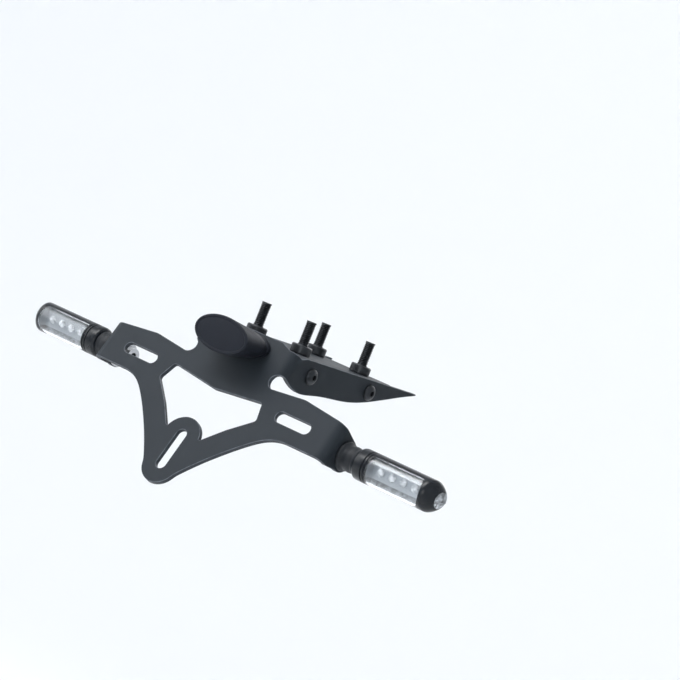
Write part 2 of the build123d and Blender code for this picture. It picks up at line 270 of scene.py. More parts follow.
def facetFinish(name, dark, light, scale):  # cut facets under a clear skin, each cell painted lighter or darker as a painted reflection
    s = facetSettings
    material, tree, shader = newFinish(name)
    cells = tree.nodes.new("ShaderNodeTexVoronoi")
    feedAll(tree, cells, {"Scale": scale, "Vector": objectPlace(tree)})
    split = tree.nodes.new("ShaderNodeSeparateColor")
    feed(tree, split.inputs["Color"], cells.outputs["Color"])
    colour = mixColour(tree, split.outputs["Red"], dark, light)
    rough = rangeNode(tree, split.outputs["Green"], *s["rough"])
    feedAll(tree, shader, {"Base Color": colour, "Roughness": rough, "Coat Weight": s["coat"]})
    bumpInto(tree, shader, cells.outputs["Distance"], s["bump"], s["depth"])
    return material


finishes = {name: grainedFinish(name) for name in finishSettings}
finishes.update({name: facetFinish(name, *look) for name, look in facetSettings["looks"].items()})
print("finishes made")


# Mesh helpers

def newObject(name, data):
    made = bpy.data.objects.new(name, data)
    bpy.context.scene.collection.objects.link(made)
    return made


def linkMesh(name, bm, material):
    mesh = bpy.data.meshes.new(name)
    bm.to_mesh(mesh)
    bm.free()
    mesh.polygons.foreach_set("use_smooth", [True] * len(mesh.polygons))
    mesh.materials.append(material)
    return newObject(name, mesh)


def addPiece(name, bm, finish, node, crisp=32.0):  # edges sharper than crisp degrees stay sharp
    bmesh.ops.recalc_face_normals(bm, faces=bm.faces[:])
    piece = linkMesh(name, bm, finishes[finish])
    piece.data.set_sharp_from_angle(angle=math.radians(crisp))
    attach(piece, "root")
    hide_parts(node)
    return piece


def dressNode(nodeName, finish):  # keeps the CAD shape and gives it a new material
    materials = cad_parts[nodeName].data.materials
    materials.clear()
    materials.append(finishes[finish])


def evenNormals(piece):  # flat faces stay flat next to their bevels
    even = piece.modifiers.new("evenNormals", "WEIGHTED_NORMAL")
    even.keep_sharp = True
    even.weight = 80


def mouldedWall(piece, thick, rim):  # gives a moulded skin its wall and softens the wall's edges
    wall = piece.modifiers.new("mouldedWall", "SOLIDIFY")
    wall.thickness, wall.offset = thick * mm, -1.0
    soft = piece.modifiers.new("softRim", "BEVEL")
    soft.width, soft.segments = rim * mm, 2
    soft.limit_method, soft.angle_limit = "ANGLE", math.radians(50)


def loftRings(bm, rings, capFirst=True, capLast=True, closeLoop=False, keep=None):
    rows = [[bm.verts.new(point) for point in ring] for ring in rings]
    pairs = list(zip(rows, rows[1:])) + ([(rows[-1], rows[0])] if closeLoop else [])
    for i, (a, b) in enumerate(pairs):
        for j in range(len(a)):
            if keep is None or keep(i, j):
                k = (j + 1) % len(a)
                bm.faces.new((a[j], a[k], b[k], b[j]))
    if closeLoop:
        return
    if capFirst:
        bm.faces.new(rows[0][::-1])
    if capLast:
        bm.faces.new(rows[-1])


def closedPatch(bm, outer, inner):  # two grids of points of the same size, joined round their border
    grids = [[[bm.verts.new(p) for p in row] for row in grid] for grid in (outer, inner)]
    rows, count = len(outer), len(outer[0])
    for grid in grids:
        for a, b in zip(grid, grid[1:]):
            for j in range(count - 1):
                bm.faces.new((a[j], a[j + 1], b[j + 1], b[j]))
    border = [(0, j) for j in range(count)] + [(i, count - 1) for i in range(1, rows)]
    border += [(rows - 1, j) for j in range(count - 2, -1, -1)] + [(i, 0) for i in range(rows - 2, 0, -1)]
    for (i, j), (k, m) in zip(border, border[1:] + border[:1]):
        bm.faces.new((grids[0][i][j], grids[0][k][m], grids[1][k][m], grids[1][i][j]))


def fullCircle(steps, offset=0.0):
    return [2 * math.pi * (j + offset) / steps for j in range(steps)]


def aroundAxis(origin, direction):  # gives the point at a distance along an axis, a radius and an angle
    along = Vector(direction).normalized()
    across = along.orthogonal().normalized()
    other = along.cross(across)

    def place(distance, radius, angle):
        outward = across * math.cos(angle) + other * math.sin(angle)
        return Vector(origin) * mm + (along * distance + outward * radius) * mm
    return place


def turn(bm, place, profile, steps=64, closeLoop=False):
    loftRings(bm, [[place(d, r, a) for a in fullCircle(steps)] for d, r in profile], closeLoop=closeLoop)


def arcPoints(cx, cy, radius, startDeg, endDeg, steps=14):
    angles = [math.radians(startDeg + (endDeg - startDeg) * i / steps) for i in range(steps + 1)]
    return [(cx + radius * math.cos(a), cy + radius * math.sin(a)) for a in angles]


def roundHole(x, y, radius, steps=24):
    return arcPoints(x, y, radius, 0, 360 - 360 / steps, steps - 1)


def slotRing(x0, x1, y, width):
    r = width / 2
    return arcPoints(x1 - r, y, r, -90, 90) + arcPoints(x0 + r, y, r, 90, 270)


def roundCorner(before, at, after, radius, steps=6):  # the arc that blends one corner of an outline
    a, b, c = Vector(before), Vector(at), Vector(after)
    u, w = (a - b).normalized(), (c - b).normalized()
    half = u.angle(w) / 2
    most = 0.48  # of a side's length, so that two arcs on it don't meet
    reach = min(radius / math.tan(half), most * (a - b).length, most * (c - b).length)
    radius = reach * math.tan(half)
    middle = b + (u + w).normalized() * (radius / math.sin(half))
    start, end = b + u * reach - middle, b + w * reach - middle
    turnBy = start.angle_signed(end)
    return [tuple(middle + Matrix.Rotation(-turnBy * i / steps, 2) @ start) for i in range(steps + 1)]


def roundOutline(points, radii):
    out = []
    for i, (point, radius) in enumerate(zip(points, radii)):
        if radius:
            out += roundCorner(points[i - 1], point, points[(i + 1) % len(points)], radius)
        else:
            out.append(point)
    return out


def sweepThrough(points, startDir, endDir, steps):  # smooth run through points, with the directions of its ends
    pts = [Vector(p) for p in points]
    slopes = [(pts[min(i + 1, len(pts) - 1)] - pts[max(i - 1, 0)]) / 2 for i in range(len(pts))]
    slopes[0] = Vector(startDir).normalized() * (pts[1] - pts[0]).length
    slopes[-1] = Vector(endDir).normalized() * (pts[-1] - pts[-2]).length
    out = []
    for i in range(len(pts) - 1):
        for k in range(steps):
            t = k / steps
            h00, h10 = 2 * t**3 - 3 * t**2 + 1, t**3 - 2 * t**2 + t
            h01, h11 = -2 * t**3 + 3 * t**2, t**3 - t**2
            out.append(tuple(pts[i] * h00 + slopes[i] * h10 + pts[i + 1] * h01 + slopes[i + 1] * h11))
    return out + [tuple(pts[-1])]


def mirrored(points):
    return [(-x, y) for x, y in reversed(points)]


# Sheet metal: a flat pattern is cut out, then its sides are folded down
sheetSettings = {"bevelSteps": 2, "weld": 0.004, "near": 0.01, "cutWearAndHighlight": 0.15, "snap": 0.0005}


def flatSheet(outline, holes, thick, edgeRound):  # a cut sheet with softened edges, flat, front face up
    s = sheetSettings
    curve = bpy.data.curves.new("cutSheet", "CURVE")
    curve.dimensions, curve.fill_mode = "2D", "BOTH"
    curve.extrude = thick / 2 - edgeRound
    curve.bevel_depth, curve.bevel_resolution = edgeRound, s["bevelSteps"]
    curve.offset = -edgeRound
    for ring in [outline] + holes:
        spline = curve.splines.new("POLY")
        spline.points.add(len(ring) - 1)
        for point, (x, y) in zip(spline.points, ring):
            point.co = (x, y, 0.0, 1.0)
        spline.use_cyclic_u = True
    holder = newObject("cutSheet", curve)
    mesh = bpy.data.meshes.new_from_object(holder.evaluated_get(bpy.context.evaluated_depsgraph_get()))
    bm = bmesh.new()
    bm.from_mesh(mesh)
    bpy.data.objects.remove(holder)
    bpy.data.curves.remove(curve)
    bpy.data.meshes.remove(mesh)
    bmesh.ops.remove_doubles(bm, verts=bm.verts[:], dist=s["weld"])
    mask = bm.verts.layers.float.new("wearAndLightMask")
    for vert in bm.verts:
        depth = thick / 2 - abs(vert.co.z)
        onFace, onBevel = depth < s["near"], depth < edgeRound - s["near"]
        vert[mask] = 0.0 if onFace else 1.0 if onBevel else s["cutWearAndHighlight"]  # strong on the bevel, faint on the cut: rubbed wear with a painted highlight
    return bm


def cutAcross(bm, start, run, cuts):  # extra cuts across the sheet where its two sides will bend
    for i in range(cuts + 1):
        for x in (-(start + run * i / cuts), start + run * i / cuts):
            geom = bm.verts[:] + bm.edges[:] + bm.faces[:]
            bmesh.ops.bisect_plane(bm, geom=geom, dist=sheetSettings["snap"], plane_co=(x, 0, 0), plane_no=(1, 0, 0))


def foldOver(d, n, outer, mid):  # distance past the bend's start and depth below the face, after a quarter bend
    run = mid * math.pi / 2
    radius = outer + n
    if d <= 0:
        return d, n
    if d < run:
        return radius * math.sin(d / mid), -outer + radius * math.cos(d / mid)
    return radius, -outer - (d - run)


def foldSides(bm, s, startAt, place):
    for vert in bm.verts:
        x, y, n = vert.co.x, vert.co.y, vert.co.z - s["thick"] / 2
        side, start = 1 if x > 0 else -1, startAt(y)
        past, depth = foldOver(abs(x) - start, n, s["bendOuter"], s["bendMid"])
        vert.co = place(side * (start + past), y, depth)


# Main bracket: the flat pattern of the whole sheet, then its folds
bracketSettings = {
    "thick": 3.0, "edgeRound": 0.38, "bendOuter": 6.0, "bendMid": 4.5, "bendCuts": 10,
    "uprightHalf": 28.0, "uprightTop": 40.0, "topCorner": 21.0, "topRadius": 6.0, "foldLow": 22.5, "foldHigh": 37.5,
    "notch": (33.0, 18.0), "notchRadius": 4.9, "notchArc": (84, 270),
    "foldSplit": 17.0,  # the upright's folds apply above this, the wings' below
    "wingEnd": 81.0, "wingPeak": (56.0, 15.5), "peakRadius": 14.0, "wingTip": 12.8, "wingLow": -11.2,
    "armFrom": 62.0, "arm": [(50.2, -13.9), (39.1, -22.2), (24.9, -36.8), (14.0, -50.2)],
    "armEnds": ((-1.0, 0.0), (-0.42, -0.91)),
    "apex": -51.0, "apexRadius": 11.7, "apexArc": (-25, -90), "boss": -32.6, "bossRadius": 12.0,
    "loop": [(33.0, 3.7), (36.6, -6.9), (23.4, -18.6), (12.8, -30.0)], "loopRadii": [1.8, 2.2, 30.0, 1.6],
    "loopTop": 8.0,
    "slotWidth": 6.6, "wingSlot": (45.5, 70.0, 0.8), "lowSlot": (-54.0, -28.4),
    "tabRadius": 9.6, "studHole": 5.25, "indicatorUp": 1.0, "indicatorBehind": 15.5,
    "wallTop": 33.7, "wallRear": 24.6, "wallFront": 139.0, "wallRadii": (6.0, 1.2),
    "wallLow": [(22, 15.2), (31, 14), (49, 15.9), (72, 17.2), (88, 19.8), (105, 24.3), (132, 31.8)],
    "wallLowEnds": ((1.0, -0.1), (0.9, 0.62)),
    "wallScrews": [(32.5, 25.0), (90.0, 26.4)], "wallHole": 2.7,
    "lampScrews": (11.5, 30.0), "lampHole": 2.3, "leadHole": (0.0, 32.5, 3.5),
}
bendRun = bracketSettings["bendMid"] * math.pi / 2  # a bend's length on the flat sheet
tabX = bracketSettings["wingEnd"] + bendRun + bracketSettings["indicatorBehind"] - bracketSettings["bendOuter"]


def wallPoint(y, z):  # forward and up from the plate's corner, laid out on the flat sheet
    b = bracketSettings
    w, v = y * leanCos - z * leanSin, y * leanSin + z * leanCos
    return b["uprightHalf"] + bendRun + w - b["bendOuter"], v


def bracketOutline():  # the right half from the top edge round to the apex, then its mirror image
    b = bracketSettings
    fold, wingTip = (b["uprightHalf"], b["foldHigh"]), (b["wingEnd"], b["wingTip"])
    wallRoot = b["uprightHalf"] + bendRun
    top = roundCorner((0, b["uprightTop"]), (b["topCorner"], b["uprightTop"]), fold, b["topRadius"])
    corners = [(b["wallRear"], b["wallTop"]), (b["wallFront"], b["wallTop"]), b["wallLow"][-1]]
    wall = roundOutline([(wallRoot, b["foldHigh"])] + [wallPoint(*p) for p in corners], [0, *b["wallRadii"], 0])
    low = sweepThrough([(wallRoot, b["foldLow"])] + [wallPoint(*p) for p in b["wallLow"]], *b["wallLowEnds"], 6)
    notch = arcPoints(*b["notch"], b["notchRadius"], *b["notchArc"], 22)
    peak = roundCorner(notch[-1], b["wingPeak"], wingTip, b["peakRadius"])
    tab = arcPoints(tabX, b["indicatorUp"], b["tabRadius"], 90, -90, 24)
    tabFoot = [(b["wingEnd"] + bendRun, b["wingLow"]), (b["wingEnd"], b["wingLow"])]
    armEnd = arcPoints(0, b["apex"], b["apexRadius"], *b["apexArc"], 10)
    arm = sweepThrough([(b["armFrom"], b["wingLow"]), *b["arm"], armEnd[0]], *b["armEnds"], 8)
    right = [(0, b["uprightTop"])] + top + [fold] + wall + low[::-1][1:] + notch + peak + [wingTip]
    right += tab + tabFoot + arm[:-1] + armEnd
    return right + mirrored(right)[1:-1]


def bracketHoles():
    b = bracketSettings
    corners = [(0, 0)] + b["loop"] + mirrored(b["loop"])
    ring = roundOutline(corners, [b["loopTop"]] + b["loopRadii"] + b["loopRadii"][::-1])
    clear = [p for p in ring if math.hypot(p[0], p[1] - b["boss"]) > b["bossRadius"]]
    split = max(i for i, p in enumerate(clear) if p[0] > 0) + 1  # the boss comes between the loop's two sides
    bossArc = [math.degrees(math.atan2(v - b["boss"], x)) for x, v in clear[split - 1:split + 1]]
    holes = [clear[:split] + arcPoints(0, b["boss"], b["bossRadius"], *bossArc, 26) + clear[split:]]
    inner, outer, v = b["wingSlot"]
    middle, half = (inner + outer) / 2, (outer - inner) / 2
    holes += [slotRing(side * middle - half, side * middle + half, v, b["slotWidth"]) for side in (-1, 1)]
    holes.append([(-y, x) for x, y in slotRing(*b["lowSlot"], 0, b["slotWidth"])])  # the upright slot
    for side in (-1, 1):
        holes.append(roundHole(side * b["lampScrews"][0], b["lampScrews"][1], b["lampHole"]))
        holes.append(roundHole(side * tabX, b["indicatorUp"], b["studHole"], 36))
        for spot in b["wallScrews"]:
            x, v = wallPoint(*spot)
            holes.append(roundHole(side * x, v, b["wallHole"]))
    holes.append(roundHole(*b["leadHole"]))
    return holes


def buildBracket():
    b = bracketSettings
    bm = flatSheet(bracketOutline(), bracketHoles(), b["thick"], b["edgeRound"])
    for start in (b["uprightHalf"], b["wingEnd"]):
        cutAcross(bm, start, bendRun, b["bendCuts"])
    foldSides(bm, b, lambda v: b["uprightHalf"] if v > b["foldSplit"] else b["wingEnd"], onPlate)
    piece = addPiece("mainBracket", bm, "satinPowderCoat", "main_bracket", crisp=40)
    evenNormals(piece)
    print("main bracket folded:", len(piece.data.polygons), "faces")


buildBracket()


# Mounting bracket: a trimmed channel inside the side walls
channelSettings = {
    "half": 31.0, "thick": 3.0, "edgeRound": 0.35, "bendOuter": 3.6, "bendMid": 2.1, "bendCuts": 8, "top": -5.0,
    "skirt": [(-46.0, -20.0), (10.0, -20.0), (22.0, -18.0), (48.0, -10.8)], "skirtRadii": [2.5, 0, 0, 2.0],
    "bolts": (17.0, 30.0), "boltHole": 3.3,
    "sideSpots": [(-35.5, -13.7), (22.0, -12.3)], "sideHole": 2.7,
}
boltX, boltY = channelSettings["bolts"]
boltSpots = [(i * boltX, j * boltY) for i in (-1, 1) for j in (-1, 1)]


def buildChannel():
    c = channelSettings
    start = c["half"] - c["bendOuter"]
    run = c["bendMid"] * math.pi / 2

    def flatX(z):
        return start + run + (c["top"] - c["bendOuter"] - z)
    right = [(flatX(z), y) for y, z in c["skirt"]]
    outline = roundOutline(right + mirrored(right), c["skirtRadii"] + c["skirtRadii"][::-1])
    holes = [roundHole(x, y, c["boltHole"], 36) for x, y in boltSpots]
    holes += [roundHole(side * flatX(z), y, c["sideHole"]) for side in (-1, 1) for y, z in c["sideSpots"]]
    bm = flatSheet(outline, holes, c["thick"], c["edgeRound"])
    cutAcross(bm, start, run, c["bendCuts"])
    foldSides(bm, c, lambda y: start, lambda x, y, n: Vector((x, y, c["top"] + n)) * mm)
    evenNormals(addPiece("mountingBracket", bm, "satinPowderCoat", "mounting_bracket", crisp=40))


buildChannel()
print("mounting bracket folded")


# Fasteners: each is made along an axis, in mm
def hexReach(flat, angle):  # from the middle of a hexagon to its side
    return flat / math.cos((angle + math.pi / 6) % (math.pi / 3) - math.pi / 6)


threadSettings = {"depth": 0.55, "perTurn": 8, "runOut": 1.5, "endDepth": 0.25, "overlap": 0.05}


def addThread(bm, place, start, end, radius, pitch, steps=40, bore=0.0):
    s = threadSettings
    count = int(round((end - start) / pitch * s["perTurn"]))
    angles = fullCircle(steps)
    rings = []
    for i in range(count + 1):
        d = start + (end - start) * i / count
        fade = min(1.0, (d - start) / pitch, (end - d) / (s["runOut"] * pitch) + s["endDepth"])
        depth = s["depth"] * pitch * max(0.0, fade)
        phases = [(d / pitch - j / steps) % 1.0 for j in range(steps)]
        rings.append([place(d, radius - depth * abs(2 * phase - 1), a) for phase, a in zip(phases, angles)])
    if bore:
        rings += [[place(d, bore, a) for a in angles] for d in (end, start)]
    loftRings(bm, rings, closeLoop=bool(bore))


nutSettings = {"ease": 0.4, "crown": 0.95, "slope": 0.5, "steps": 96}


def addNut(bm, place, low, high, flat, bore):
    s = nutSettings
    circle = flat * s["crown"]
    angles = fullCircle(s["steps"])

    def plain(d, r):
        return [place(d, r, a) for a in angles]

    def edge(base, sign):  # the hexagon's edge, chamfered at its corners
        reach = [hexReach(flat, a) for a in angles]
        return [place(base + sign * s["slope"] * (r - circle), r, a) for r, a in zip(reach, angles)]
    rings = [plain(low + s["ease"], bore), plain(low, bore + s["ease"]), plain(low, circle), edge(low, 1)]
    rings += [edge(high, -1), plain(high, circle), plain(high, bore + s["ease"]), plain(high - s["ease"], bore)]
    loftRings(bm, rings, closeLoop=True)


def addSleeve(bm, place, low, high, radius, bore, outEase, inEase):  # a ring with eased edges
    outside = [(low, radius - outEase), (low + outEase, radius), (high - outEase, radius), (high, radius - outEase)]
    inside = [(high, bore + inEase), (high - inEase, bore), (low + inEase, bore)]
    turn(bm, place, [(low, bore + inEase)] + outside + inside, closeLoop=True)


washerSettings = {"ease": 0.25, "easeShare": 0.3}


def addWasher(bm, place, low, high, radius, bore):
    ease = min(washerSettings["ease"], (high - low) * washerSettings["easeShare"])
    addSleeve(bm, place, low, high, radius, bore, ease, ease)


headSettings = {
    "steps": 72, "neck": 0.9, "ease": 0.15, "skirt": 0.35, "dome": 74.0, "domeSteps": 7,
    "mouth": 1.35, "lip": 1.06, "socketFloor": 0.38, "drillPoint": (0.25, 0.2),
}


def addButtonHead(bm, place, seat, height, radius, socket, shank):  # domed, with a hexagon socket
    s = headSettings
    angles = fullCircle(s["steps"])
    dome, mouth, top = math.radians(s["dome"]), socket * s["mouth"], seat + height
    profile = [(seat, shank * s["neck"]), (seat, radius - s["ease"]), (seat + s["ease"], radius)]
    for i in range(1, s["domeSteps"] + 1):
        t = i / s["domeSteps"] * dome
        rise = (height - s["skirt"]) * math.sin(t) / math.sin(dome)
        reach = (radius - mouth) * (math.cos(t) - math.cos(dome)) / (1 - math.cos(dome))
        profile.append((seat + s["skirt"] + rise, mouth + reach))
    rings = [[place(d, r, a) for a in angles] for d, r in profile]
    for d, share in ((top, s["lip"]), (top - s["ease"], 1.0), (seat + height * s["socketFloor"], 1.0)):
        rings.append([place(d, hexReach(socket, a) * share, a) for a in angles])
    pointAt, pointRadius = s["drillPoint"]
    rings.append([place(seat + height * pointAt, pointRadius, a) for a in angles])
    loftRings(bm, rings)


def addScrew(bm, place, seat, s):
    addButtonHead(bm, place, seat, *s["head"], s["radius"])
    addThread(bm, place, s["end"], seat + threadSettings["overlap"], s["radius"], s["pitch"])


# A head is given as height, radius and half its socket; a nut, washer or spacer as its two ends, radius and bore
boltSettings = {
    "seat": -9.2, "head": (3.3, 5.25, 2.0), "radius": 3.0, "pitch": 1.0, "tip": 14.0, "shank": 2.85, "shankTop": 0.4,
    "washer": (-9.2, -8.0, 5.85, 3.2), "spacer": (-5.0, 0.0, 6.0, 3.2), "spacerEase": (0.5, 0.4),
}


def buildMountingFasteners():
    s = boltSettings
    bolts, washers, spacers = bmesh.new(), bmesh.new(), bmesh.new()
    for x, y in boltSpots:
        up, down = aroundAxis((x, y, 0), (0, 0, 1)), aroundAxis((x, y, 0), (0, 0, -1))
        addButtonHead(bolts, down, -s["seat"], *s["head"], s["radius"])
        turn(bolts, up, [(s["seat"] - threadSettings["overlap"], s["shank"]), (s["shankTop"], s["shank"])])
        addThread(bolts, up, 0.0, s["tip"], s["radius"], s["pitch"])
        addWasher(washers, up, *s["washer"])
        addSleeve(spacers, up, *s["spacer"], *s["spacerEase"])
    addPiece("mountingBolts", bolts, "blackOxideSteel", "mounting_bolts")
    addPiece("mountingWashers", washers, "zincPlatedSteel", "mounting_washers")
    addPiece("mountingSpacers", spacers, "anodisedSpacer", "mounting_spacers")


sideScrewSettings = {
    "seat": 34.0, "head": (2.7, 4.6, 1.5), "radius": 2.5, "pitch": 0.8, "end": 23.2, "nut": (24.0, 28.0, 4.0, 2.3),
}


def buildSideScrews():
    s = sideScrewSettings
    screws, nuts = bmesh.new(), bmesh.new()
    for side in (-1, 1):
        for y, z in channelSettings["sideSpots"]:
            place = aroundAxis((0, y, z), (side, 0, 0))
            addScrew(screws, place, s["seat"], s)
            addNut(nuts, place, *s["nut"])
    addPiece("sideScrews", screws, "blackOxideSteel", "side_screws")
    addPiece("sideNuts", nuts, "zincPlatedSteel", "side_nuts")


lampScrewSettings = {
    "washer": (3.0, 3.8, 4.5, 2.15), "head": (2.4, 3.6, 1.25), "radius": 2.0, "pitch": 0.7, "end": -8.0,
}


def buildLampScrews():
    s = lampScrewSettings
    screws, washers = bmesh.new(), bmesh.new()
    across, up = bracketSettings["lampScrews"]
    backward = onPlate(0, 0, -1) - onPlate(0, 0, 0)
    for side in (-1, 1):
        place = aroundAxis(onPlate(side * across, up, 0) / mm, backward)
        addWasher(washers, place, *s["washer"])
        addScrew(screws, place, s["washer"][1], s)
    addPiece("lampScrews", screws, "blackOxideSteel", "lamp_screws")
    addPiece("lampWashers", washers, "zincPlatedSteel", "lamp_washers")


buildMountingFasteners()
buildSideScrews()
buildLampScrews()
print("fasteners made")


# Number-plate lamp: level and oval, with a bare upright face and a clear window underneath
lampSettings = {
    "faceSize": (38.6, 20.4), "baseSize": (35.0, 15.0), "meets": 31.5, "out": 24.3, "steps": 112,
    "foot": [(0.0, 0.3), (0.08, 0.0), (0.34, 0.0), (0.40, 0.35), (0.54, 0.35), (0.60, 0.0)], "footReach": 1.5,
    "edge": 0.9, "edgeSteps": 6, "rim": 1.0, "rimFlat": 0.6, "recess": 0.35,
    "dome": 0.5, "domeReach": 7.0, "domeSteps": 6, "wall": 2.0, "softRim": 0.3,
    "window": (16.0, 12.0, 8.0, 4.5), "windowSteps": (20, 36),  # depths behind the face, and steps round the outline
}


def lampRing(depth, shrink=0.0, lift=0.0):  # the lamp's outline at a depth behind its face
    s = lampSettings
    k = depth / s["out"]
    width, height = (face + k * (base - face) - 2 * shrink for face, base in zip(s["faceSize"], s["baseSize"]))
    angles = [math.pi + a for a in fullCircle(s["steps"])]  # the underside comes first
    points = [(width / 2 * math.cos(a), height / 2 * math.sin(a)) for a in angles]
    hub = onPlate(0, s["meets"], 0)
    return [hub + Vector((x, depth - s["out"] - lift, rise)) * mm for x, rise in points]


def footRing(share, shrink):  # share runs from 0 at the face plate to 1 at the window's inner end
    s = lampSettings
    outward = onPlate(0, 0, 1) - onPlate(0, 0, 0)
    ring = []
    for near, far in zip(lampRing(s["window"][0], shrink), lampRing(s["out"] * s["footReach"], shrink)):
        a, b = (outward.dot(p - onPlate(0, 0, 0)) for p in (near, far))
        ring.append(near.lerp(far, a / (a - b) * (1 - share)))
    return ring


def buildLampHousing():
    s = lampSettings
    rings = [footRing(*level) for level in s["foot"]]
    windowRows = range(len(rings), len(rings) + len(s["window"]) - 1)
    windowColumns = range(*s["windowSteps"])
    rings += [lampRing(depth) for depth in (*s["window"], s["edge"])]
    for i in range(1, s["edgeSteps"] + 1):
        t = math.radians(90) * i / s["edgeSteps"]
        rings.append(lampRing(s["edge"] * (1 - math.sin(t)), s["edge"] * (1 - math.cos(t))))
    rings.append(lampRing(0, s["edge"] + s["rim"] * s["rimFlat"]))
    rings.append(lampRing(0, s["edge"] + s["rim"], -s["recess"]))
    for i in range(1, s["domeSteps"]):
        t = i / s["domeSteps"]
        lift = -s["recess"] + s["dome"] * (1 - (1 - t) ** 2)
        rings.append(lampRing(0, s["edge"] + s["rim"] + t * s["domeReach"], lift))
    bm = bmesh.new()
    loftRings(bm, rings, capFirst=False, keep=lambda i, j: not (i in windowRows and j in windowColumns))
    piece = addPiece("lampHousing", bm, "grainedLampPlastic", "lamp_housing", crisp=38)
    mouldedWall(piece, s["wall"], s["softRim"])


windowSettings = {
    "rows": 24, "gap": 0.1, "outside": (0.35, 0.0), "inside": (1.9, 0.35), "ribRows": 4,  # inset and rib height
}


def buildLampWindow():
    s = windowSettings
    first, last = lampSettings["windowSteps"]
    deep, near = lampSettings["window"][0], lampSettings["window"][-1]
    grids = []
    for inset, rib in (s["outside"], s["inside"]):
        grid = []
        for i in range(s["rows"] + 1):
            depth = near + s["gap"] + (deep - near - 2 * s["gap"]) * i / s["rows"]
            wave = rib * abs(math.sin(math.pi * i / s["ribRows"]))
            grid.append(lampRing(depth, inset - wave)[first:last + 1])
        grids.append(grid)
    bm = bmesh.new()
    closedPatch(bm, *grids)
    addPiece("lampWindow", bm, "clearLampWindow", "lamp_window", crisp=25)


buildLampHousing()
buildLampWindow()
dressNode("lamp_board", "darkSolderMask")
dressNode("lamp_leds", "paleLedPhosphor")
print("lamp made")


# Indicators: a bullet barrel on a rubber stalk, clear towards the rear. Distances run outward along X.
barrelSettings = {
    "radius": 8.9, "wall": 1.5, "softRim": 0.22, "droop": 8.0, "stalkEnd": 98.0, "angleStep": 4.0, "backAngle": 120.0,
    "collar": [(0.0, 2.7), (0.0, 1.7), (0.15, 1.3), (0.6, 0.65), (1.2, 0.2), (2.0, 0.0)],  # past stalk, below radius
    "grooves": [(3.4, 2.4, 0.6), (1.5, 0.6, 0.45)], "grooveEase": (0.2, 0.15), "grooveSide": 0.3,  # before the lens
    "lensFrom": 108.0, "lensTo": 140.5, "lensSweep": 3.8, "lensAngles": (-86.0, 61.0), "lensRings": 4,
    "noseStart": (144.9, 148.0), "apex": (153.5, 4.6, 0.8), "nosePower": 1.3, "noseRings": 9,
    "tipMiddle": 2.2, "tipRadius": 4.8, "tipMost": 0.93,
}
axisSpot = onPlate(0, bracketSettings["indicatorUp"], -bracketSettings["indicatorBehind"]) / mm


def barrelPoint(side, x, radius, degrees):  # degrees from the rear, climbing
    droop = math.radians(barrelSettings["droop"])
    rear = Vector((0, -math.cos(droop), -math.sin(droop)))
    up = Vector((0, -math.sin(droop), math.cos(droop)))
    a = math.radians(degrees)
    outward = rear * radius * math.cos(a) + up * radius * math.sin(a)
    return Vector((side * x, axisSpot.y, axisSpot.z)) * mm + outward * mm


def trayPoint(side, x, across, depth):  # across the barrel and rearward of its axis, in the lens's own tilt
    return barrelPoint(side, x, math.hypot(depth, across), math.degrees(math.atan2(across, depth)))


def barrelAngles():  # even steps that also meet the edges of the lens
    s = barrelSettings
    low, high = s["lensAngles"]
    angles = []
    for a, b in ((s["backAngle"] - 360.0, low), (low, high), (high, s["backAngle"])):
        steps = max(2, int(round((b - a) / s["angleStep"])))
        angles += [a + (b - a) * i / steps for i in range(steps)]
    return angles


def lensEnd(degrees):  # the lens runs further out at the rear than at its top and bottom
    return barrelSettings["lensTo"] + barrelSettings["lensSweep"] * math.cos(math.radians(degrees))


def nosePoint(side, degrees, bend):  # bend runs from 0 on the barrel's side to a quarter turn at the apex
    s = barrelSettings
    first, last = s["noseStart"]
    tipX, forward, drop = s["apex"]
    a = math.radians(degrees)
    startX = (first + last) / 2 - (last - first) / 2 * math.cos(a)
    narrow, advance = max(0.0, math.cos(bend)) ** s["nosePower"], math.sin(bend) ** s["nosePower"]
    depth = -forward + (s["radius"] * math.cos(a) + forward) * narrow
    across = -drop + (s["radius"] * math.sin(a) + drop) * narrow
    return trayPoint(side, startX + (tipX - startX) * advance, across, depth)


def tipEdge(degrees):  # the bend at which the round tip window begins
    s = barrelSettings
    a = math.radians(degrees)
    outY, outZ = s["radius"] * math.cos(a) + s["apex"][1], s["radius"] * math.sin(a) + s["apex"][2]
    shift = s["tipMiddle"] - s["apex"][1]
    size, lean = outY ** 2 + outZ ** 2, outY * shift
    share = (math.sqrt(lean ** 2 + size * (s["tipRadius"] ** 2 - shift ** 2)) - lean) / size
    return math.acos(min(s["tipMost"], share) ** (1 / s["nosePower"]))


def collarProfile():  # from the stalk's end to the lens, with two grooves
    s = barrelSettings
    profile = [(s["stalkEnd"] + past, s["radius"] - below) for past, below in s["collar"]]
    run, soft = s["grooveEase"]
    for start, end, deep in s["grooves"]:
        floor = [(start - s["grooveSide"], deep), (end + s["grooveSide"], deep)]
        for before, below in [(start, 0.0), (start - run, soft), *floor, (end + run, soft), (end, 0.0)]:
            profile.append((s["lensFrom"] - before, s["radius"] - below))
    return profile


